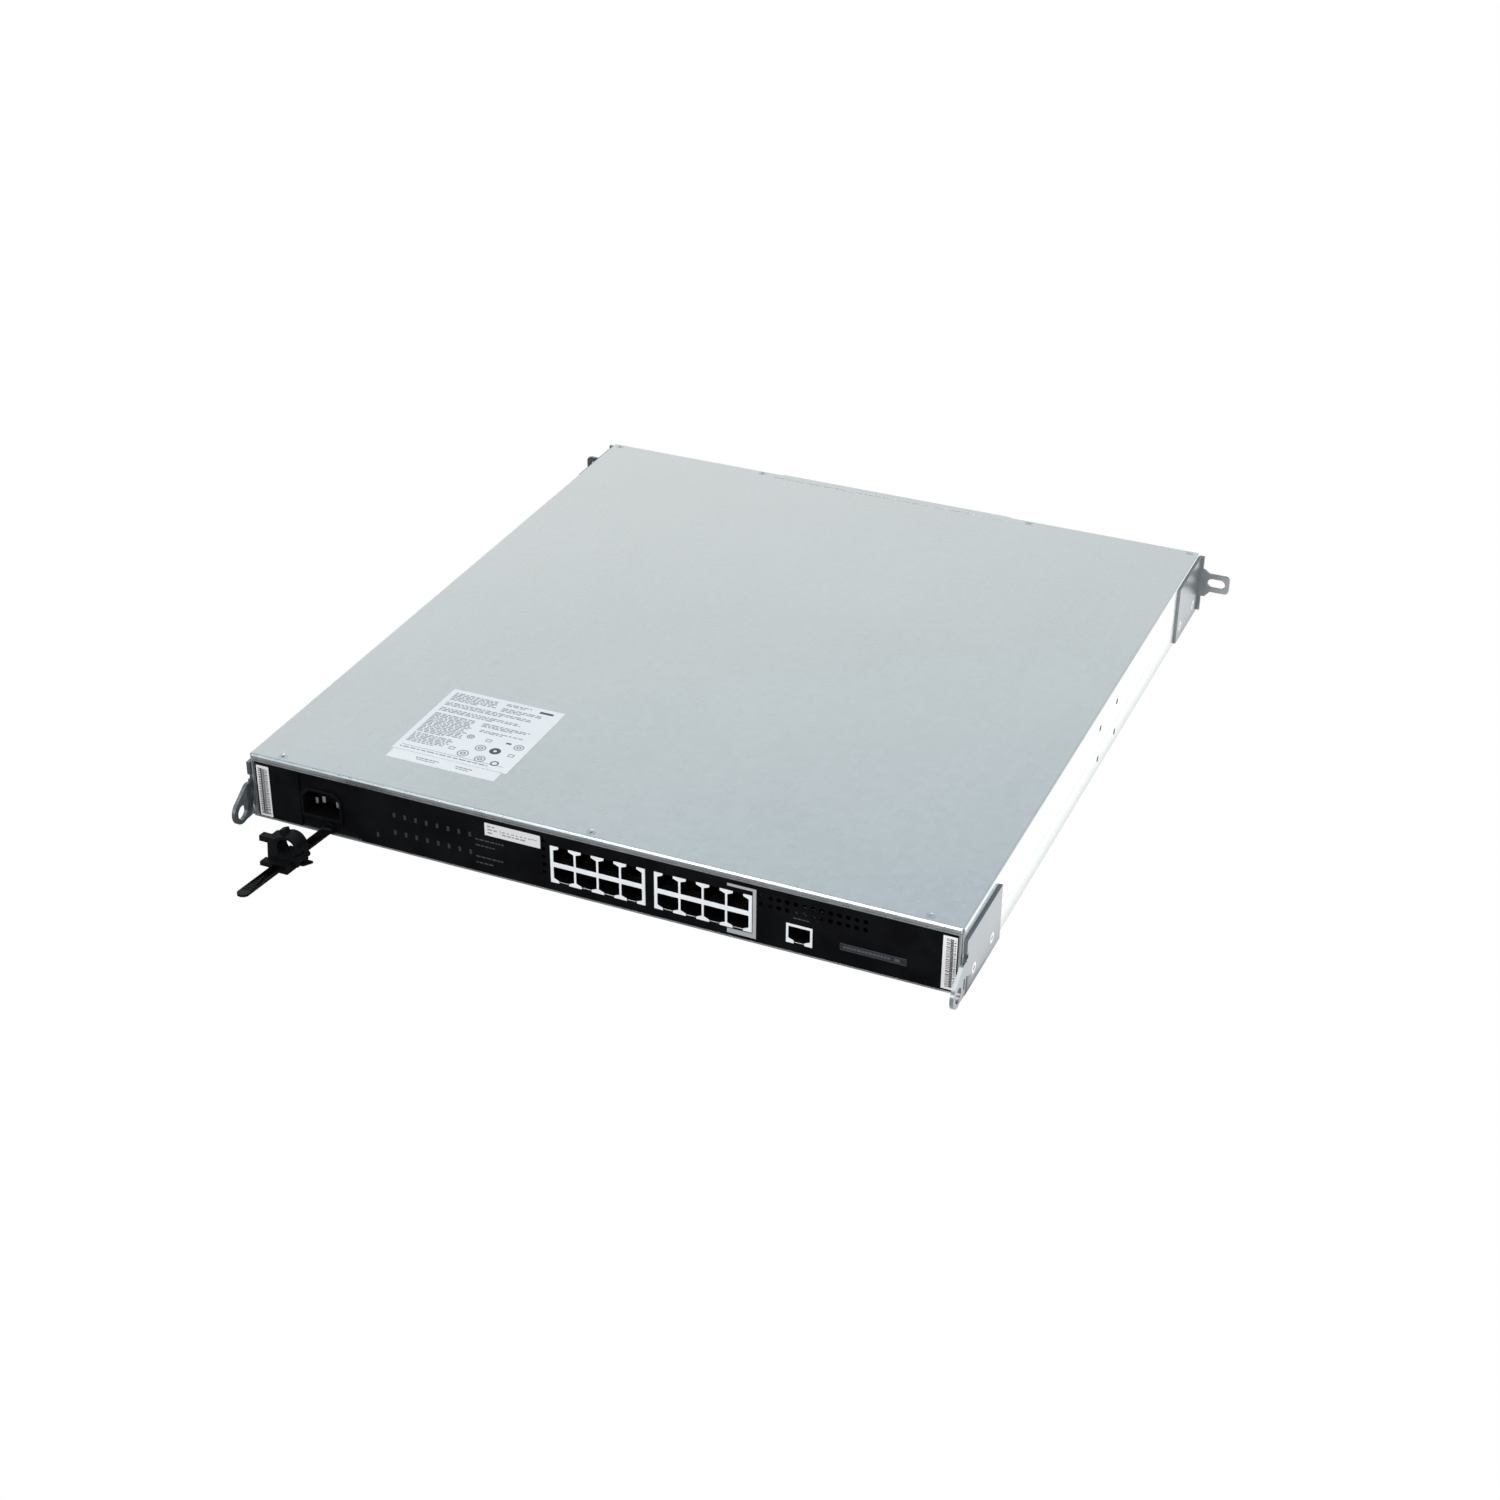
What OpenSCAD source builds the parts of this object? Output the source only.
// Rack-mount firewall appliance, one rack unit high.
// Origin: centre of the chassis floor's underside. X right, Y to the back, Z up, millimetres.

/* [Case] */
// Width of the case without its rack hardware
case_w = 438; // [434:1:442]
// Depth of the case from front lip to rear lip
case_d = 484; // [470:1:500]
// Height of the case, floor to lid
case_h = 42.5; // [42.3:0.1:44]
// Thickness of the case's sheet steel
sheet = 1.0; // [0.9:0.1:1.1]
// Height at which the lid's side flanges end
seam_z = 15.8; // [14:0.2:18]
// Height of the lid's folded front lip
lip_h = 3.2; // [3:0.2:4]

/* [Front panel] */
// Half width of the black front panel
panel_half = 215.8; // [213:0.2:216]
// Height of the panel's top edge
panel_top = 37.7; // [37:0.1:38]
// Distance between the centres of neighbouring network jacks
jack_pitch = 13.97; // [13.9:0.01:14.1]
// Centre of the left block of eight jacks
block_left_x = 5.6; // [5:0.1:7]
// Centre of the right block of eight jacks
block_right_x = 69.5; // [68.5:0.5:70.5]
// Centre of the console jack
console_x = 126.5; // [125:0.5:128]
// Centre of the mains inlet, across
inlet_x = -172.5; // [-174:0.5:-169]
// Distance between the columns of status lights
light_pitch = 7; // [6.5:0.1:7.2]
// Distance between the holes of the air intake
intake_pitch = 5; // [4.8:0.1:5.1]

/* [Rack hardware] */
// Distance between the rear ears' slots
slot_spacing = 465; // [464:0.5:466]
// Height of the slots' centre
slot_z = 22.2; // [21:0.1:24]
// Reach of the lugs in front of the panel
lug_reach = 19.4; // [18:0.2:21]
// Radius of the hole in each front lug
lug_hole_r = 4.5; // [4:0.05:5]

/* [Cord strap] */
// Length of the ladder strap
strap_len = 90; // [76:1:96]
// Width of the ladder strap
strap_w = 7; // [6.5:0.1:7]
// Upward slope of the strap as it leaves the inlet, degrees
strap_rise = 6; // [0:0.5:10]
// Distance from the strap's root to the middle of the cord clamp
clamp_at = 40; // [36:1:44]

/* [Cooling] */
// Side of the square fan frames
fan_size = 40; // [38:1:40]
// Distance between the chassis fans
fan_pitch = 60; // [50:1:64]

/* [Hidden] */
$fn = 48;

gap = 0.2;                       // assembly gap between neighbouring sheets
fit = 0.05;                      // radial clearance of pins, shafts and screws
half_w = case_w / 2;
front = -case_d / 2;
rear = case_d / 2;
lid_under = case_h - sheet;      // underside of the lid
inner_x = half_w - sheet - gap;  // outer face of the tray's upper side walls
panel_y = front + gap;           // front face of the black panel
panel_t = 1.0;
panel_low = 1.2;
side_slot = 1.2;                 // dark slot between the panel's end and the case
label_t = 0.15;

// network jacks
jack_low = 6.4;                  // underside of the jacks, on the main board
block_h = 24.1;
block_mid = jack_low + block_h / 2;
mid_bar = 3.0;                   // bar between the two rows
port_w = 12.7;                   // width of a port's opening
port_main_h = 7.8;               // straight part of the opening, above it the latch's notch
notch_w = 6.2;
port_h = block_h / 2 - mid_bar / 2;
jack_deep = 26;
cavity_deep = 15;
shield_t = 0.35;
block_w = 3 * jack_pitch + port_w + 3.8;
console_w = 15.3;
console_h = 12.4;
console_deep = 18;
console_port_z = jack_low + 10.9;        // roof of the console jack's opening

// main board
board_t = 1.6;
board_z = jack_low - 0.4;        // top of the main board
board_x0 = -122;
board_x1 = 208;
board_y0 = front + 5;
board_y1 = 70;
standoff_at = [
    for (x = [board_x0 + 8, 30, board_x1 - 8])
        for (y = [board_y0 + 32, -110, board_y1 - 8])
            [x, y]
];

// parts on the main board
cpu_at = [92, 0];
memory_x = [158, 170];

// drive behind the supply
drive_x0 = -206;
drive_y0 = 8;

// supply
psu_x0 = -212;
psu_x1 = -141;
psu_y0 = front + 2.9;
psu_y1 = front + 195;
psu_top = 39.6;
psu_sheet = 0.8;
bay_x0 = inlet_x - 14;
bay_x1 = bay_x0 + 40;
inlet_z = 18.4;
inlet_w = 27.2;
inlet_h = 19.6;
recess_deep = 16.5;
face_y = front + 1.5;            // front of the supply's black face plate
face_t = 1.2;
face_x0 = psu_x0 + 6;

// cord strap
anchor_x = -168;
anchor_z = 4.2;
root_y = front - 2;
anchor_r = 2.5;
knuckle_r = 1.7;
root_pin_r = 0.8;
strap_t = 1.4;
ladder_pitch = 2.5;
ring_r = 6;                      // inside of the clamp's ring
ring_wall = 2;
ring_x = 1.5;
ring_z = 8.8;
ring_front = clamp_at + 6;
ring_back = clamp_at - 4.5;
jaw_pin_r = 0.9;
jaw_x = ring_x + 7.6;
jaw_z = ring_z - 5;
pawl_pin_r = 0.7;
pawl_y = clamp_at - 5;
pawl_z = -2.3;

// lights
light_x0 = -123.4;
light_rows = [12.9, 24.6];
power_light = [-135.2, 8.4];
light_size = [1.6, 3];
lights = concat(
    [power_light],
    [for (z = light_rows) for (i = [0:7]) [light_x0 + i * light_pitch, z]]
);

// air intake right of the jacks, and the column of holes left of them
intake_x0 = 104.2;
intake_rows = [26.6, 31.7];
intake_cols = 13;
intake_r = 1.5;
column_x = -27.7;
column_z0 = 11.6;
column_pitch = 5.2;

// rack hardware
plate_x = half_w + 0.1;
lug_r = 8;
lug_end = [-lug_reach + lug_r, 9.2];     // centre of the lug's rounded end, from the front face and the floor
lug_plate_t = 2.2;
ear_t = 2;
ear_plate_t = 1.6;
ear_tip = 241.3;
slot_r = 3.4;
slot_len = 12;
side_holes_y = [front + 251.5, front + 287.5];
side_holes_z = [8.2, 29.7];
side_hole_r = 2.1;
bracket_screw_z = 10;
front_screw_y = [front + 14, front + 44];
rear_screw_y = [rear - 47, rear - 14];
screw_r = 1.9;

// lid screws
lid_screw_r = 1.5;
lid_front_x = [-198.5, 0, 198.5];
lid_front_y = front + 5;
lid_rear_x = [-212.9, -99.8, 99.8, 212.9];
lid_rear_y = rear - 4.5;
bay_half = fan_pitch + fan_size / 2 + 5; // half width of the fan bay in the rear flange

// fans
fan_depth = 28;
psu_fan_depth = 20;
fan_z = sheet + 0.05 + fan_size / 2;
duct_r = fan_size / 2 - 1;
fan_wall_y = rear - 2 * sheet - gap;     // inner face of the rear wall
fan_y0 = fan_wall_y - 0.3 - fan_depth;
psu_fan_y0 = psu_y1 + 0.2;
psu_fan_x = (psu_x0 + psu_x1) / 2;
fan_hole = 16;
fan_hole_r = 1.75;
shaft_r = 1.0;
hub_r = 12;
fan_centres = [-fan_pitch, 0, fan_pitch];

STEEL = "#b9bec0";
BLACK = "#17181a";
NYLON = "#1b1b1c";
PAPER = "#eceded";
SILVER = "#dcdedf";
BOARD = "#1f5a3c";
ALUMINIUM = "#c9ccce";

// ---------- helpers ----------

// Box from its lowest to its highest corner
module span(lo, hi) {
    translate(lo) cube(hi - lo);
}

// Cylinders along X and Y, from one coordinate to another
module rod_x(r, x0, x1, y, z) {
    translate([x0, y, z]) rotate([0, 90, 0]) cylinder(r = r, h = x1 - x0);
}

module rod_y(r, y0, y1, x, z) {
    translate([x, y0, z]) rotate([-90, 0, 0]) cylinder(r = r, h = y1 - y0);
}

module rod_z(r, z0, z1, x, y) {
    translate([x, y, z0]) cylinder(r = r, h = z1 - z0);
}

// An outline drawn in X and Z, extruded along Y
module along_y(y0, y1) {
    translate([0, y1, 0]) rotate([90, 0, 0]) linear_extrude(y1 - y0) children();
}

// An outline drawn in Y and Z, extruded along X
module along_x(x0, x1) {
    translate([x0, 0, 0]) rotate([90, 0, 90]) linear_extrude(x1 - x0) children();
}

// Two circles joined by a web that starts just inside their outer tangents
module link(c1, r1, c2, r2) {
    d = c2 - c1;
    a = atan2(d.y, d.x);
    b = acos((r1 - r2) / norm(d));
    web = 0.99;
    translate(c1) circle(r1);
    translate(c2) circle(r2);
    polygon([
        c1 + web * r1 * [cos(a + b), sin(a + b)],
        c1 + web * r1 * [cos(a - b), sin(a - b)],
        c2 + web * r2 * [cos(a - b), sin(a - b)],
        c2 + web * r2 * [cos(a + b), sin(a + b)]
    ]);
}

// Mirrored copy on the left, plain copy on the right
module both_sides() {
    for (m = [0, 1]) mirror([m, 0, 0]) children();
}

// ---------- case ----------

module side_wall() {
    span([half_w - sheet, front, 0], [half_w, fan_wall_y + sheet, seam_z]);
    span([inner_x - sheet, front + 1.5, seam_z - sheet], [half_w, fan_wall_y + sheet, seam_z]);
    span([inner_x - sheet, front + 1.5, seam_z - sheet], [inner_x, fan_wall_y + sheet, lid_under - gap]);
}

module front_frame() {
    rail_y = front + sheet + gap;
    span([-inner_x, rail_y, panel_top + gap], [inner_x, rail_y + sheet, lid_under - gap]);
    span([-inner_x, panel_y, panel_top + gap], [inner_x, rail_y + sheet, panel_top + 1.1]);
    span([-inner_x, rail_y, lid_under - gap - sheet], [inner_x, front + 12, lid_under - gap]);
    span([-inner_x, rail_y + gap, 0], [inner_x, rail_y + gap + sheet, 4]);
    both_sides() {
        span([panel_half + side_slot, panel_y, 0], [inner_x, front + 2.4, panel_top + gap]);
        span([panel_half - 8, rail_y + gap, 0], [inner_x, front + 2.4, lid_under - gap]);
    }
}

module rear_wall() {
    difference() {
        union() {
            span([-inner_x, fan_wall_y, 0], [inner_x, fan_wall_y + sheet, lid_under - gap]);
            both_sides()
                span([bay_half, rear - 12, lid_under - gap - sheet],
                     [inner_x, fan_wall_y + sheet, lid_under - gap]);
        }
        for (x = fan_centres) {
            rod_y(duct_r, fan_wall_y - 1, rear, x, fan_z);
            for (i = [-1, 1]) for (j = [-1, 1])
                rod_y(fan_hole_r, fan_wall_y - 1, rear, x + i * fan_hole, fan_z + j * fan_hole);
        }
    }
}

module side_holes() {
    for (y = side_holes_y) for (z = side_holes_z)
        both_sides() rod_x(side_hole_r, inner_x - 2 * sheet, half_w + 1, y, z);
}

module chassis_tray() {
    color(STEEL) difference() {
        union() {
            span([-half_w, front, 0], [half_w, fan_wall_y + sheet, sheet]);
            both_sides() side_wall();
            front_frame();
            rear_wall();
        }
        side_holes();
        both_sides() for (y = concat(front_screw_y, rear_screw_y))
            rod_x(screw_r + fit, half_w - 2 * sheet, half_w + 1, y, bracket_screw_z);
        for (x = lid_front_x) rod_z(lid_screw_r + fit, lid_under - 3, lid_under, x, lid_front_y);
        for (x = lid_rear_x) rod_z(lid_screw_r + fit, lid_under - 3, lid_under, x, lid_rear_y);
        // the supply's face plate reaches down past the front lip
        span([face_x0 - 1, front + sheet + gap, sheet], [psu_x1 + 1, front + 3, 5]);
    }
}

module top_cover() {
    color(STEEL) difference() {
        union() {
            span([-half_w, front, lid_under], [half_w, rear, case_h]);
            span([-half_w, front, case_h - lip_h], [half_w, front + sheet, case_h]);
            both_sides() span([bay_half, rear - sheet, case_h - 8], [half_w, rear, case_h]);
            both_sides() span([half_w - sheet, front, seam_z + gap], [half_w, rear, case_h]);
        }
        side_holes();
        for (x = lid_front_x) lid_screw_seat([x, lid_front_y]);
        for (x = lid_rear_x) lid_screw_seat([x, lid_rear_y]);
        // relief line over the fan bay
        span([-bay_half - 5, rear - 7.2, case_h - 0.35], [bay_half + 5, rear - 6.2, case_h + 1]);
    }
}

module lid_screw_seat(at) {
    translate([at.x, at.y, lid_under - 1]) cylinder(r = lid_screw_r + 0.1, h = 3);
    translate([at.x, at.y, case_h - 0.9]) cylinder(r1 = lid_screw_r + 0.1, r2 = 2.8, h = 0.91);
}

module cover_screw(at) {
    difference() {
        union() {
            rod_z(lid_screw_r, lid_under - 6, case_h - 0.8, at.x, at.y);
            translate([at.x, at.y, case_h - 0.85]) cylinder(r1 = lid_screw_r, r2 = 2.65, h = 0.8);
        }
        for (a = [0, 90]) translate([at.x, at.y, case_h]) rotate(a) cube([2.6, 0.7, 1.2], center = true);
    }
}

module cover_screws() {
    color("#8b9092") {
        for (x = lid_front_x) cover_screw([x, lid_front_y]);
        for (x = lid_rear_x) cover_screw([x, lid_rear_y]);
    }
}

// ---------- front panel ----------

module front_panel() {
    color(BLACK) difference() {
        span([-panel_half, panel_y, panel_low], [panel_half, panel_y + panel_t, panel_top]);
        span([bay_x0, front - 1, panel_low - 1], [bay_x1, front + 3, panel_top - 1.2]);
        for (x = [block_left_x, block_right_x])
            span([x - block_w / 2 - 0.1, front - 1, jack_low - 0.1],
                 [x + block_w / 2 + 0.1, front + 3, jack_low + block_h + 0.1]);
        span([console_x - console_w / 2 - 0.1, front - 1, jack_low - 0.1],
             [console_x + console_w / 2 + 0.1, front + 3, jack_low + console_h + 0.1]);
        for (p = lights)
            translate([p.x, front, p.y]) cube([light_size.x + 0.2, 4, light_size.y + 0.2], center = true);
        for (z = intake_rows) for (i = [0:intake_cols - 1])
            rod_y(intake_r, front - 1, front + 3, intake_x0 + i * intake_pitch, z);
        for (i = [0:4]) rod_y(1.2, front - 1, front + 3, column_x, column_z0 + i * column_pitch);
    }
}

// Thin plate on the panel
module panel_plate(x0, x1, z0, z1) {
    span([x0, panel_y - label_t, z0], [x1, panel_y, z1]);
}

module end_labels() {
    color(PAPER) {
        panel_plate(-214.7, -206.4, 1.6, 35.8);
        panel_plate(207.7, 215.6, 2.2, 36.2);
    }
}

module panel_label() {
    color(PAPER) panel_plate(-64.6, -29.6, 26.8, 35);
}

module nameplate() {
    color("#3a3b40") panel_plate(150, 188.2, 10.2, 14.6);
}

module rating_label() {
    color(PAPER) span([-147, front + 40.4, case_h], [-71.8, front + 115, case_h + label_t]);
}

module serial_strip() {
    color(PAPER) span([-145.2, front + 30.2, case_h], [-74.6, front + 39.8, case_h + label_t]);
}

// ---------- rack hardware ----------

module lug_outline() {
    difference() {
        union() {
            link(lug_end, lug_r, [-3, 17.5], 6);
            polygon([[1, 1.8], [lug_end.x + 2, 1.8], [lug_end.x, 16], [-3, 22.5], [1, 22.5]]);
            // plate along the side of the case
            square_span([0, 0.8], [58, 36]);
        }
        translate([lug_end.x, 8.4]) circle(lug_hole_r);
        square_span([-3.3, 6.6], [-1.6, 13.4]);
        // relief between the lug and the plate's upper front edge
        square_span([-4, 24.3], [2, 27.6]);
    }
}

module square_span(lo, hi) {
    translate(lo) square(hi - lo);
}

module front_bracket() {
    color(STEEL) difference() {
        translate([0, front, 0]) along_x(plate_x, plate_x + lug_plate_t) lug_outline();
        for (y = front_screw_y) bracket_seat(plate_x + lug_plate_t, y);
    }
}

module front_bracket_right() {
    front_bracket();
}

module front_bracket_left() {
    mirror([1, 0, 0]) front_bracket();
}

module ear_outline() {
    difference() {
        union() {
            square_span([plate_x, 0.8], [plate_x + 3.6, 40.5]);
            polygon([
                [plate_x, slot_z - 10.5], [plate_x + 6, slot_z - 10.5], [plate_x + 9.5, slot_z - 6.4],
                [ear_tip - 3, slot_z - 6.4], [ear_tip - 3, slot_z + 6.4], [plate_x + 8, slot_z + 6.4],
                [plate_x + 4.5, slot_z + 9], [plate_x, slot_z + 9]
            ]);
            for (k = [-1, 1]) translate([ear_tip - 3, slot_z + k * 3.4]) circle(3);
            square_span([ear_tip - 4, slot_z - 3.4], [ear_tip, slot_z + 3.4]);
        }
        link([slot_spacing / 2 - slot_len / 2 + slot_r, slot_z], slot_r,
             [slot_spacing / 2 + slot_len / 2 - slot_r, slot_z], slot_r);
    }
}

module rear_ear() {
    color(STEEL) difference() {
        union() {
            along_y(rear - ear_t, rear) ear_outline();
            span([plate_x, rear - 56, 0.8], [plate_x + ear_plate_t, rear, 40.5]);
        }
        for (y = rear_screw_y) bracket_seat(plate_x + ear_plate_t, y);
    }
}

module rear_ear_right() {
    rear_ear();
}

module rear_ear_left() {
    mirror([1, 0, 0]) rear_ear();
}

// Countersink in a plate whose outer face is at x
module bracket_seat(x, y) {
    rod_x(screw_r + fit, half_w - 1, x + 1, y, bracket_screw_z);
    translate([x - 1.45, y, bracket_screw_z]) rotate([0, 90, 0])
        cylinder(r1 = screw_r + 0.1, r2 = 3.6, h = 1.46);
}

// Flat-head screw along +X, flush with a plate whose outer face is at x
module bracket_screw(x, y) {
    difference() {
        union() {
            rod_x(screw_r, half_w - 6, x - 1, y, bracket_screw_z);
            translate([x - 1.35, y, bracket_screw_z]) rotate([0, 90, 0])
                cylinder(r1 = screw_r, r2 = 3.4, h = 1.3);
        }
        for (a = [0, 90]) translate([x, y, bracket_screw_z]) rotate([a, 0, 0])
            cube([1.6, 3.6, 0.8], center = true);
    }
}

module bracket_screws() {
    color("#7d8284") both_sides() {
        for (y = front_screw_y) bracket_screw(plate_x + lug_plate_t, y);
        for (y = rear_screw_y) bracket_screw(plate_x + ear_plate_t, y);
    }
}

// ---------- power supply ----------

module psu_case() {
    color(STEEL) difference() {
        span([psu_x0, psu_y0, sheet + 0.1], [psu_x1, psu_y1, psu_top - psu_sheet - 0.05]);
        span([psu_x0 + psu_sheet, psu_y0 - 1, sheet + 0.1 + psu_sheet],
             [psu_x1 - psu_sheet, psu_y1 - psu_sheet, case_h]);
        rod_y(duct_r, psu_y1 - 5, psu_y1 + 5, psu_fan_x, fan_z);
        rod_y(anchor_r + 0.9, psu_y0 - 1, front + 12, anchor_x, anchor_z);
        span([psu_x1 - 5, psu_y1 - 40, 14], [psu_x1 + 5, psu_y1 - 24, 22]);
    }
}

module psu_lid() {
    color(STEEL) difference() {
        // starts behind the case lid's front screw
        span([psu_x0, psu_y0 + 5, psu_top - psu_sheet], [psu_x1, psu_y1, psu_top]);
        for (i = [0:7]) translate([0, psu_y0 + 30 + i * 10, 30])
            span([psu_x0 + 12, 0, 0], [psu_x1 - 12, 3, 20]);
    }
}

// Mains inlet seen from the front: two corners cut beside the earth pin
module inlet_outline(w, h, cut) {
    polygon([
        [-w / 2, -h / 2], [w / 2, -h / 2], [w / 2, h / 2 - cut], [w / 2 - cut, h / 2],
        [-w / 2 + cut, h / 2], [-w / 2, h / 2 - cut]
    ]);
}

module psu_faceplate() {
    color(BLACK) difference() {
        span([face_x0, face_y, panel_low], [psu_x1, face_y + face_t, psu_top - 1.8]);
        translate([inlet_x, 0, inlet_z]) along_y(face_y - 1, face_y + 5)
            inlet_outline(inlet_w - 1.8, inlet_h - 1.8, 4.5);
        rod_y(anchor_r + fit, face_y - 1, face_y + 5, anchor_x, anchor_z);
    }
}

module iec_inlet() {
    color(NYLON) translate([inlet_x, 0, inlet_z]) difference() {
        union() {
            along_y(front + 0.3, face_y) inlet_outline(inlet_w, inlet_h, 4.8);
            along_y(face_y - 0.1, front + 24) inlet_outline(inlet_w - 2, inlet_h - 2, 4.5);
        }
        along_y(front - 1, front + recess_deep) inlet_outline(24.2, 16.4, 4.2);
        for (p = [[-7, -2], [7, -2], [0, 2]])
            translate([p.x, front + 20, p.y]) cube([2.1, 20, 4.1], center = true);
    }
}

module inlet_pins() {
    color(SILVER) translate([inlet_x, 0, inlet_z]) {
        for (k = [-1, 1]) span([k * 7 - 1, front + 7, -4], [k * 7 + 1, front + 31, 0]);
        span([-1, front + 4, 0], [1, front + 31, 4]);
    }
}

module psu_board() {
    color(BOARD) span([psu_x0 + 3, psu_y0 + 34, 5.4], [psu_x1 - 3, psu_y1 - 3, 7]);
}

module psu_transformer() {
    color("#c9b458") {
        span([psu_x0 + 20, psu_y0 + 92, 7.05], [psu_x0 + 52, psu_y0 + 126, 12]);
        span([psu_x0 + 24, psu_y0 + 92, 12], [psu_x0 + 48, psu_y0 + 126, 33]);
        span([psu_x0 + 20, psu_y0 + 100, 12], [psu_x0 + 52, psu_y0 + 118, 35]);
    }
}

module psu_capacitors() {
    color("#30343c") {
        for (x = [psu_x0 + 20, psu_x0 + 44]) rod_z(10, 7.05, 35, x, psu_y0 + 72);
        for (i = [0:2]) rod_z(5, 7.05, 27, psu_x0 + 18 + i * 13, psu_y0 + 144);
    }
}

// Comb-shaped heat sink: base plate with upright fins along Y
module fins(lo, hi, base, count, t) {
    span(lo, [hi.x, hi.y, lo.z + base]);
    for (i = [0:count - 1]) {
        x = lo.x + i * (hi.x - lo.x - t) / (count - 1);
        span([x, lo.y, lo.z], [x + t, hi.y, hi.z]);
    }
}

module psu_heatsinks() {
    color(ALUMINIUM) for (x = [psu_x0 + 6, psu_x1 - 16])
        fins([x, psu_y0 + 88, 7.05], [x + 10, psu_y0 + 136, 34], 3, 3, 1.6);
}

// ---------- fans ----------

// Frame in the axis frame of its rotor: air moves along +Y, back face at depth
module fan_frame_at(x, y0, depth) {
    s = fan_size / 2;
    translate([x, y0, fan_z]) difference() {
        union() {
            difference() {
                span([-s, 0, -s], [s, depth, s]);
                rod_y(duct_r, -1, depth + 1, 0, 0);
            }
            rod_y(hub_r - 1, depth - 3, depth, 0, 0);
            for (a = [45:90:315]) rotate([0, a, 0]) span([0, depth - 2.5, -1], [duct_r + 0.6, depth, 1]);
            rod_y(3.2, max(depth - 16, 6), depth - 1, 0, 0);
            rod_y(8.6, depth - 12, depth - 2.5, 0, 0);
        }
        rod_y(shaft_r + fit, -1, depth - 1, 0, 0);
        for (i = [-1, 1]) for (j = [-1, 1]) rod_y(fan_hole_r, -1, depth + 1, i * fan_hole, j * fan_hole);
    }
}

module fan_rotor_at(x, y0, depth) {
    cup = depth - 4;
    blades = 7;
    chord = min(depth - 8, 15);
    translate([x, y0, fan_z]) {
        difference() {
            rod_y(hub_r, depth - 3.5 - cup + 2, depth - 3.5, 0, 0);
            rod_y(hub_r - 1.6, depth - 3.5 - cup + 4.5, depth, 0, 0);
        }
        rod_y(shaft_r, depth - 3.5 - cup + 3, depth - 1.5, 0, 0);
        intersection() {
            union() for (k = [0:blades - 1]) rotate([0, k * 360 / blades, 0])
                translate([hub_r - 1, 3 + chord / 2, 0]) rotate([38, 0, 0]) translate([0, -chord / 2, -0.6])
                    cube([duct_r, chord, 1.2]);
            difference() {
                rod_y(duct_r - 0.7, 1, depth - 4, 0, 0);
                rod_y(hub_r - 0.6, 0, depth, 0, 0);
            }
        }
    }
}

module fan_frames() {
    color(NYLON) for (x = fan_centres) fan_frame_at(x, fan_y0, fan_depth);
}

module fan_rotor_left() {
    color("#26282c") fan_rotor_at(fan_centres[0], fan_y0, fan_depth);
}

module fan_rotor_middle() {
    color("#26282c") fan_rotor_at(fan_centres[1], fan_y0, fan_depth);
}

module fan_rotor_right() {
    color("#26282c") fan_rotor_at(fan_centres[2], fan_y0, fan_depth);
}

module psu_fan_frame() {
    color(NYLON) fan_frame_at(psu_fan_x, psu_fan_y0, psu_fan_depth);
}

module psu_fan_rotor() {
    color("#26282c") fan_rotor_at(psu_fan_x, psu_fan_y0, psu_fan_depth);
}

// Wire finger guard on the outside of the rear wall
module fan_guards() {
    wire = 0.7;
    spoke = fan_hole * sqrt(2);
    leg_y = fan_wall_y + sheet + wire + 0.05;
    color(SILVER) for (x = fan_centres) translate([x, leg_y, fan_z]) {
        for (r = [5.5, 10.5, 15.5]) translate([0, 0.9, 0]) rotate([90, 0, 0])
            rotate_extrude() translate([r, 0]) circle(wire);
        for (a = [45, 135]) rotate([0, a, 0]) rod_x(wire, 3 - spoke, spoke - 3, 0, 0);
        for (i = [-1, 1]) for (j = [-1, 1]) difference() {
            rod_y(3.6, -wire, wire, i * fan_hole, j * fan_hole);
            rod_y(fan_hole_r + 0.3, -2, 2, i * fan_hole, j * fan_hole);
        }
    }
}

module fan_screws() {
    seat = fan_wall_y + sheet + 1.5;
    color("#8b9092") for (x = fan_centres) for (i = [-1, 1]) for (j = [-1, 1]) difference() {
        union() {
            rod_y(fan_hole_r - fit, seat - 14, seat + 0.2, x + i * fan_hole, fan_z + j * fan_hole);
            rod_y(3, seat + 0.05, seat + 1.4, x + i * fan_hole, fan_z + j * fan_hole);
        }
        for (a = [0, 90]) translate([x + i * fan_hole, seat + 1.4, fan_z + j * fan_hole])
            rotate([0, a, 0]) cube([3.2, 1.4, 0.8], center = true);
    }
}

// ---------- cord strap and clamp ----------

// Frame of the strap: root at the origin, strap along -Y, face up
module strap_frame() {
    translate([anchor_x, root_y, anchor_z]) rotate([-strap_rise, 0, 0]) children();
}

module strap_anchor() {
    color(NYLON) {
        rod_y(anchor_r, front + 1, front + 8, anchor_x, anchor_z);
        rod_y(3, front + 0.15, face_y - fit, anchor_x, anchor_z);
        // barbs behind the face plate
        translate([anchor_x, face_y + face_t + fit, anchor_z]) rotate([-90, 0, 0])
            cylinder(r1 = anchor_r + 0.4, r2 = anchor_r - 0.6, h = 2.6);
        strap_frame() {
            for (k = [-1, 1]) mirror([k < 0 ? 1 : 0, 0, 0]) {
                rod_x(knuckle_r, 2.3, 3.1, 0, 0);
                span([2.3, 0, -knuckle_r], [3.1, 2.2, knuckle_r]);
            }
            rod_x(root_pin_r, -2.5, 2.5, 0, 0);
        }
    }
}

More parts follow.
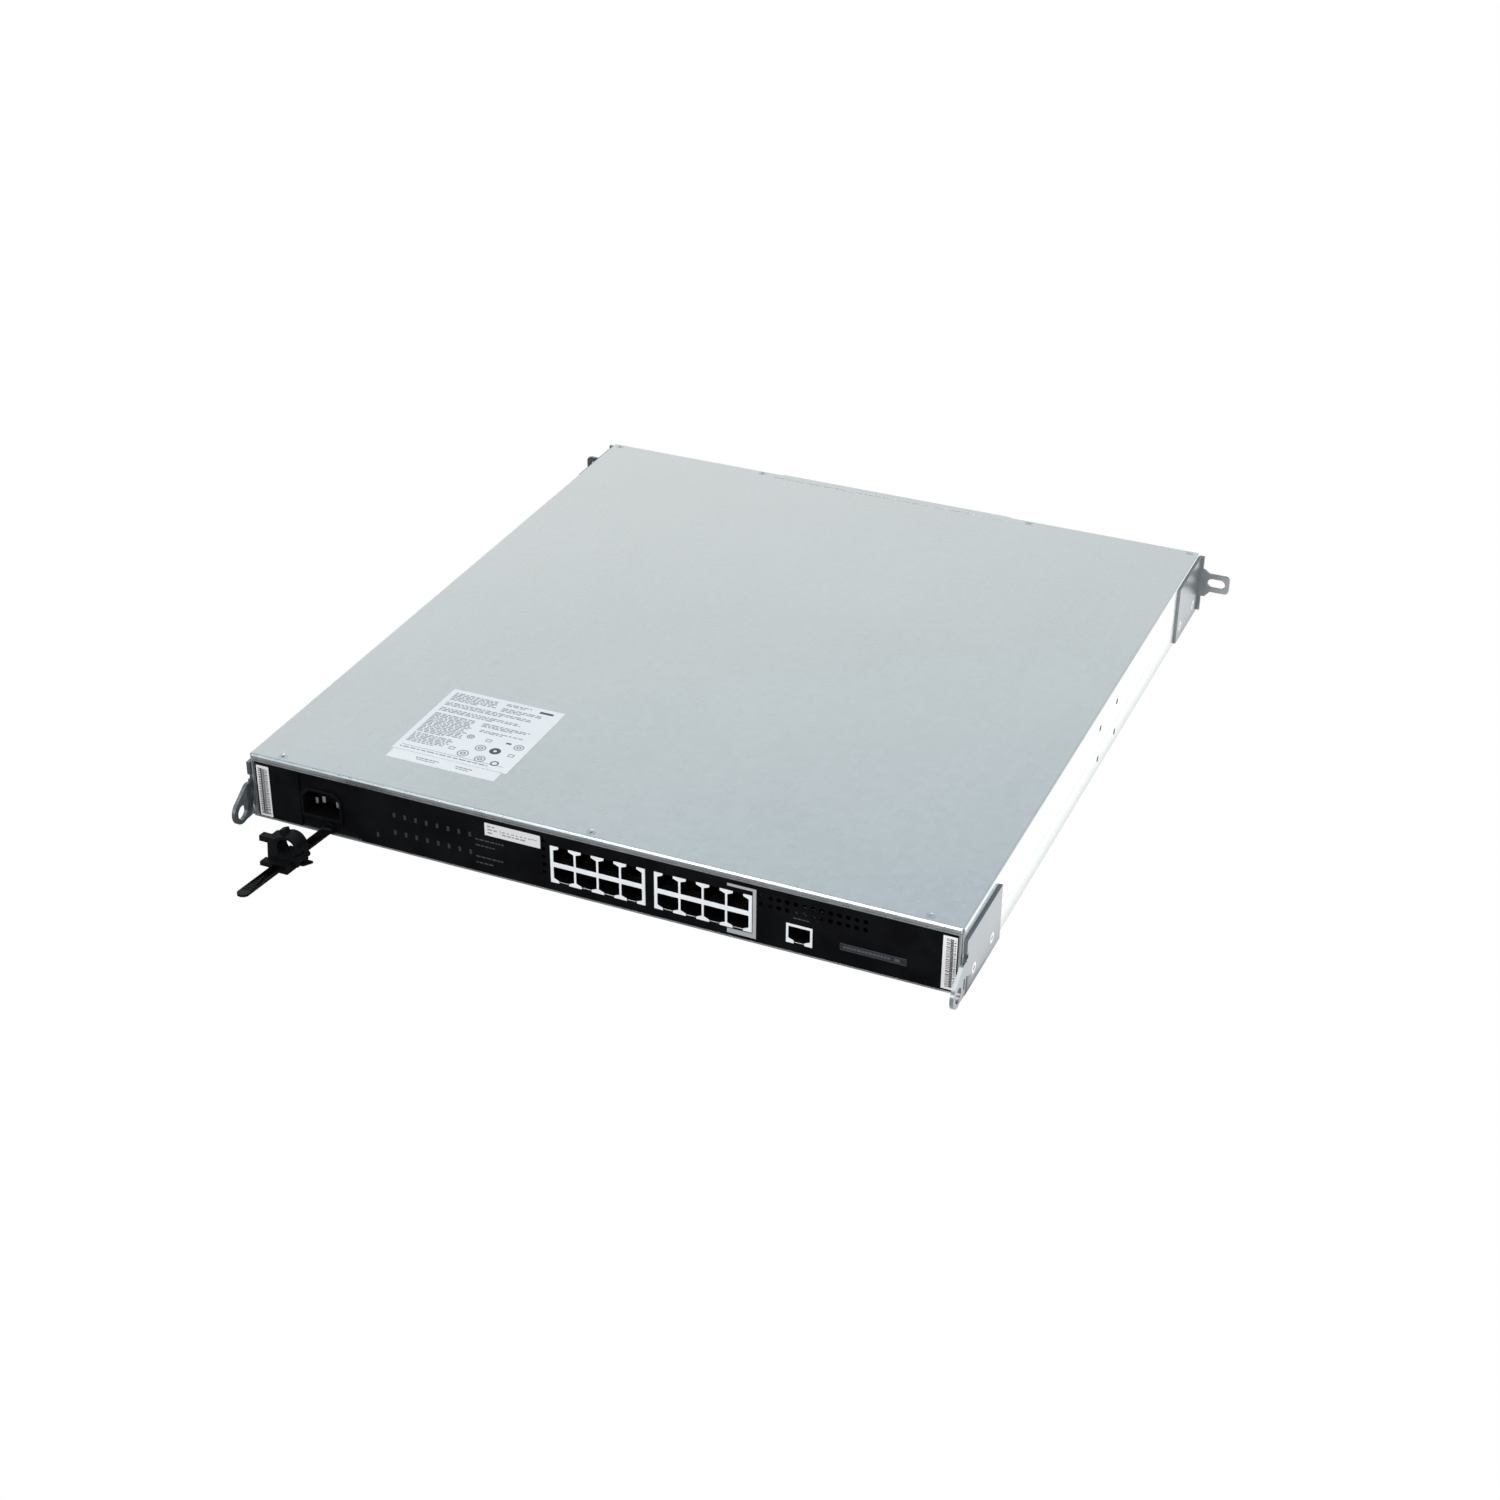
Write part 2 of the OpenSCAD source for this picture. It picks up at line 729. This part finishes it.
module strap() {
    color(NYLON) strap_frame() difference() {
        union() {
            rod_x(knuckle_r, -2.2, 2.2, 0, 0);
            span([-2.2, -4, -strap_t / 2], [2.2, 0, strap_t / 2]);
            span([-strap_w / 2, -strap_len + strap_w / 2, -strap_t / 2], [strap_w / 2, -2.8, strap_t / 2]);
            rod_z(strap_w / 2, -strap_t / 2, strap_t / 2, 0, -strap_len + strap_w / 2);
        }
        rod_x(root_pin_r + fit, -4, 4, 0, 0);
        // ladder grooves on both faces
        for (y = [8:ladder_pitch:strap_len - 6]) for (k = [-1, 1])
            translate([0, -y, k * strap_t / 2]) cube([strap_w - 2, 1.2, 0.7], center = true);
    }
}

// Slice of a disc between two angles, drawn in X and Z
module sector(r, a0, a1) {
    steps = 6;
    intersection() {
        circle(r);
        polygon(concat([[0, 0]],
            [for (i = [0:steps]) let (a = a0 + (a1 - a0) * i / steps) 2 * r * [cos(a), sin(a)]]));
    }
}

module ring_arc(a0, a1) {
    difference() {
        sector(ring_r + ring_wall, a0, a1);
        circle(ring_r);
    }
}

module clamp_body() {
    color(NYLON) strap_frame() difference() {
        union() {
            // slider
            span([-6, -clamp_at - 12, -3.6], [6, -clamp_at + 10, 2.3]);
            // fixed part of the ring and its latch block
            along_y(-ring_front, -ring_back) {
                translate([ring_x, ring_z]) ring_arc(150, 318);
                difference() {
                    square_span([-10.6, 0], [2, ring_z + 4.7]);
                    translate([ring_x, ring_z]) circle(ring_r + 0.5);
                    translate([ring_x, ring_z]) sector(ring_r + ring_wall + 0.3, -20, 149);
                }
            }
            // thumb tab and squeeze fin
            span([-16.6, -clamp_at - 5, ring_z + 0.7], [-9, -clamp_at, ring_z + 4.1]);
            span([-12.6, -clamp_at - 11, -2.4], [-5, -clamp_at - 5, 0.2]);
            // lugs for the jaw's pin
            for (y = [-ring_front, -ring_back - 3]) {
                rod_y(2, y, y + 3, jaw_x, jaw_z);
                span([3, y, -1], [jaw_x, y + 3, jaw_z]);
            }
        }
        // room for the jaw's knuckle
        rod_y(2.35, -ring_front + 3, -ring_back - 3, jaw_x, jaw_z);
        // strap's passage
        span([-strap_w / 2 - 0.15, -60, -strap_t / 2 - 0.15], [strap_w / 2 + 0.15, 0, strap_t / 2 + 0.15]);
        // room inside the ring
        along_y(-ring_front - 1, -ring_back + 1) translate([ring_x, ring_z]) circle(ring_r);
        // window for the pawl
        span([-2.2, -clamp_at - 8, -5], [2.2, -clamp_at + 8, -strap_t / 2]);
        span([2, -pawl_y - 5.2, -4], [7, -pawl_y + 1.6, -0.85]);
        rod_x(pawl_pin_r + fit, -5, 5.4, -pawl_y, pawl_z);
    }
    color(NYLON) strap_frame() rod_y(jaw_pin_r, -ring_front + 1, -ring_back - 1, jaw_x, jaw_z);
}

module clamp_jaw() {
    color(NYLON) strap_frame() difference() {
        union() {
            rod_y(2, -ring_front + 3.1, -ring_back - 3.1, jaw_x, jaw_z);
            along_y(-ring_front + 3.1, -ring_back - 3.1) translate([ring_x, ring_z]) ring_arc(-34, 20);
            along_y(-ring_front, -ring_back) translate([ring_x, ring_z]) ring_arc(-8, 148);
            // thumb knob at the free end
            translate([ring_x, 0, ring_z]) rotate([0, -112, 0])
                span([ring_r + 0.4, -clamp_at - 3.5, -2], [ring_r + 5, -clamp_at + 1.5, 2]);
        }
        rod_y(jaw_pin_r + fit, -60, 0, jaw_x, jaw_z);
    }
}

module clamp_pawl() {
    color(NYLON) strap_frame() {
        rod_x(pawl_pin_r, -4.8, 5.2, -pawl_y, pawl_z);
        span([-2, -pawl_y - 11, pawl_z - 0.9], [2, -pawl_y + 0.9, pawl_z + 0.7]);
        // tooth facing the ladder
        span([-2, -pawl_y - 11, pawl_z], [2, -pawl_y - 9.6, -strap_t / 2 - 0.15]);
        // release tab at the side
        release_tab();
    }
}

// Pointed tab that sticks out of the slider's right side
module release_tab() {
    translate([0, 0, pawl_z - 0.9]) linear_extrude(1.6)
        polygon([[1.5, -pawl_y - 4.8], [8.6, -pawl_y - 4.8], [11.5, -pawl_y + 1.2], [1.5, -pawl_y + 1.2]]);
}

// ---------- jacks ----------

// Opening of one port with its latch's notch on top, floor at z = 0
module port_outline(notch_top) {
    polygon([
        [-port_w / 2, 0], [port_w / 2, 0], [port_w / 2, port_main_h], [notch_w / 2, port_main_h + 1.4],
        [notch_w / 2, notch_top], [-notch_w / 2, notch_top], [-notch_w / 2, port_main_h + 1.4],
        [-port_w / 2, port_main_h]
    ]);
}

// The eight openings of a block: upper row upright, lower row upside down
module block_openings(notch_top) {
    for (i = [-1.5:1.5]) for (k = [0, 1])
        translate([i * jack_pitch, block_mid]) mirror([0, k]) translate([0, mid_bar / 2])
            port_outline(notch_top);
}

module port_shield(x) {
    color(SILVER) translate([x, 0, 0]) difference() {
        span([-block_w / 2, front, jack_low], [block_w / 2, front + jack_deep, jack_low + block_h]);
        span([-block_w / 2 + shield_t, front + 0.4, jack_low + shield_t],
             [block_w / 2 - shield_t, front + jack_deep + 1, jack_low + block_h - shield_t]);
        along_y(front - 1, front + 1.2) block_openings(port_h + 1);
    }
}

module port_housing(x) {
    color(NYLON) translate([x, 0, 0]) difference() {
        span([-block_w / 2 + shield_t + 0.05, front + 0.45, jack_low + shield_t + 0.05],
             [block_w / 2 - shield_t - 0.05, front + jack_deep, jack_low + block_h - shield_t - 0.05]);
        along_y(front - 1, front + cavity_deep) block_openings(port_h - 1);
        along_y(front - 1, front + 1.2) block_openings(port_h + 1);
    }
}

module port_shield_left() {
    port_shield(block_left_x);
}

module port_shield_right() {
    port_shield(block_right_x);
}

module port_housing_left() {
    port_housing(block_left_x);
}

module port_housing_right() {
    port_housing(block_right_x);
}

module console_opening(notch_top) {
    translate([0, console_port_z]) mirror([0, 1]) port_outline(notch_top);
}

module console_shield() {
    color(SILVER) translate([console_x, 0, 0]) difference() {
        span([-console_w / 2, front, jack_low],
             [console_w / 2, front + console_deep, jack_low + console_h]);
        span([-console_w / 2 + shield_t, front + 0.4, jack_low + shield_t],
             [console_w / 2 - shield_t, front + console_deep + 1, jack_low + console_h - shield_t]);
        along_y(front - 1, front + 1.2) console_opening(port_h + 1);
    }
}

module console_housing() {
    color(NYLON) translate([console_x, 0, 0]) difference() {
        span([-console_w / 2 + shield_t + 0.05, front + 0.45, jack_low + shield_t + 0.05],
             [console_w / 2 - shield_t - 0.05, front + console_deep,
              jack_low + console_h - shield_t - 0.05]);
        along_y(front - 1, front + cavity_deep) console_opening(port_h - 1.2);
        along_y(front - 1, front + 1.2) console_opening(port_h + 1);
    }
}

// Eight sprung wires of one port, sloping up towards the back from the opening's floor
module wires() {
    for (i = [-3.5:3.5]) translate([i * 1.02, front + 5, 0.35]) rotate([12, 0, 0])
        span([-0.22, 0, 0], [0.22, 10, 0.3]);
}

module port_contacts() {
    color("#d8b34a") {
        for (x = [block_left_x, block_right_x]) for (i = [-1.5:1.5]) for (k = [0, 1])
            translate([x + i * jack_pitch, 0, block_mid]) mirror([0, 0, k])
                translate([0, 0, mid_bar / 2]) wires();
        translate([console_x, 0, console_port_z]) mirror([0, 0, 1]) wires();
    }
}

// ---------- status lights ----------

module light_pipes() {
    color("#8f9a97") for (p = lights)
        translate([p.x, 0, p.y]) span([-light_size.x / 2, front + 0.1, -light_size.y / 2],
                                      [light_size.x / 2, front + 7, light_size.y / 2]);
}

module status_board() {
    color(BOARD) span([-140, front + 7.05, 4.6], [-66, front + 8.65, 33]);
}

// ---------- electronics ----------

module main_board() {
    color(BOARD) difference() {
        span([board_x0, board_y0, board_z - board_t], [board_x1, board_y1, board_z]);
        for (p = standoff_at) rod_z(lid_screw_r + fit, 0, 10, p.x, p.y);
        // cut-out that clears the status board
        span([board_x0 - 1, board_y0 - 1, 0], [-64, board_y0 + 8, 10]);
    }
}

module board_standoffs() {
    color(SILVER) for (p = standoff_at) difference() {
        rod_z(3, sheet + 0.02, board_z - board_t - 0.02, p.x, p.y);
        rod_z(lid_screw_r + fit, 0, 10, p.x, p.y);
    }
}

module board_screws() {
    color("#8b9092") for (p = standoff_at) {
        rod_z(lid_screw_r, sheet + 0.3, board_z + 0.2, p.x, p.y);
        rod_z(2.8, board_z + 0.03, board_z + 1.9, p.x, p.y);
    }
}

module cpu() {
    color("#aeb2b4") {
        span([cpu_at.x - 19, cpu_at.y - 19, board_z + 0.02], [cpu_at.x + 19, cpu_at.y + 19, board_z + 1.6]);
        span([cpu_at.x - 16, cpu_at.y - 16, board_z + 1.6], [cpu_at.x + 16, cpu_at.y + 16, board_z + 3.4]);
    }
}

module cpu_heatsink() {
    color(ALUMINIUM) translate([cpu_at.x, cpu_at.y, board_z + 3.45])
        fins([-42, -45, 0], [42, 45, 26.5], 4, 22, 1);
}

module switch_chips() {
    color("#202224") for (x = [block_left_x, block_right_x])
        span([x - 15, front + 52, board_z + 0.02], [x + 15, front + 82, board_z + 2.2]);
}

module switch_heatsinks() {
    color(ALUMINIUM) for (x = [block_left_x, block_right_x])
        fins([x - 18, front + 49, board_z + 2.25], [x + 18, front + 85, board_z + 16], 2.5, 10, 1);
}

module memory_sockets() {
    color("#23262b") for (x = memory_x) difference() {
        span([x - 3.3, -76, board_z + 0.02], [x + 3.3, 64, board_z + 8]);
        span([x - 0.75, -73, board_z + 2.5], [x + 0.75, 61, board_z + 9]);
    }
}

module memory_modules() {
    color("#1d4d35") for (x = memory_x) {
        span([x - 0.65, -72.6, board_z + 2.6], [x + 0.65, 60.6, board_z + 31]);
        for (i = [0:7]) translate([x + 0.65, -66 + i * 15.6, board_z + 12])
            span([0, 0, 0], [1.1, 11, 12]);
    }
}

module board_capacitors() {
    color("#4a4f58") {
        for (i = [0:7]) rod_z(4, board_z + 0.02, board_z + 11, 40 + i * 14, 59);
        for (i = [0:3]) span([134, -84 + i * 16, board_z + 0.02], [145, -73 + i * 16, board_z + 7]);
    }
}

module coin_cell() {
    color(SILVER) {
        rod_z(10, board_z + 1.6, board_z + 4.8, -90, -150);
        span([-102, -153, board_z + 0.02], [-78, -147, board_z + 1.7]);
    }
}

module storage_drive() {
    color("#9aa0a4") {
        span([drive_x0 + 2, drive_y0, 6.55], [drive_x0 + 72, drive_y0 + 100, 14]);
        span([drive_x0 + 6, drive_y0 + 6, 14], [drive_x0 + 68, drive_y0 + 86, 16]);
    }
}

module drive_bracket() {
    color(STEEL) {
        span([drive_x0, drive_y0 - 4, 5.5], [drive_x0 + 74, drive_y0 + 104, 6.5]);
        for (x = [drive_x0 + 3, drive_x0 + 63]) for (y = [drive_y0, drive_y0 + 92])
            span([x, y, sheet + 0.02], [x + 8, y + 8, 5.5]);
    }
}

// Bundle from the supply to the main board
module power_harness() {
    start = [psu_x1 - 2, psu_y1 - 32, 18];
    color("#2b2b2e") {
        rod_x(3, start.x, board_x0 + 12, start.y, start.z);
        translate([board_x0 + 12, start.y, start.z]) sphere(r = 3);
        rod_z(3, board_z + 9, start.z, board_x0 + 12, start.y);
        span([board_x0 + 7, start.y - 14, board_z + 0.02], [board_x0 + 17, start.y + 14, board_z + 9.5]);
    }
}

// ---------- assembly ----------

chassis_tray();
top_cover();
cover_screws();
front_panel();
end_labels();
panel_label();
nameplate();
rating_label();
serial_strip();
front_bracket_left();
front_bracket_right();
rear_ear_left();
rear_ear_right();
bracket_screws();
psu_case();
psu_lid();
psu_faceplate();
psu_board();
psu_transformer();
psu_capacitors();
psu_heatsinks();
psu_fan_frame();
psu_fan_rotor();
iec_inlet();
inlet_pins();
strap_anchor();
strap();
clamp_body();
clamp_jaw();
clamp_pawl();
port_shield_left();
port_shield_right();
console_shield();
port_housing_left();
port_housing_right();
console_housing();
port_contacts();
light_pipes();
status_board();
main_board();
board_standoffs();
board_screws();
cpu();
cpu_heatsink();
switch_chips();
switch_heatsinks();
memory_sockets();
memory_modules();
board_capacitors();
coin_cell();
storage_drive();
drive_bracket();
power_harness();
fan_frames();
fan_rotor_left();
fan_rotor_middle();
fan_rotor_right();
fan_guards();
fan_screws();
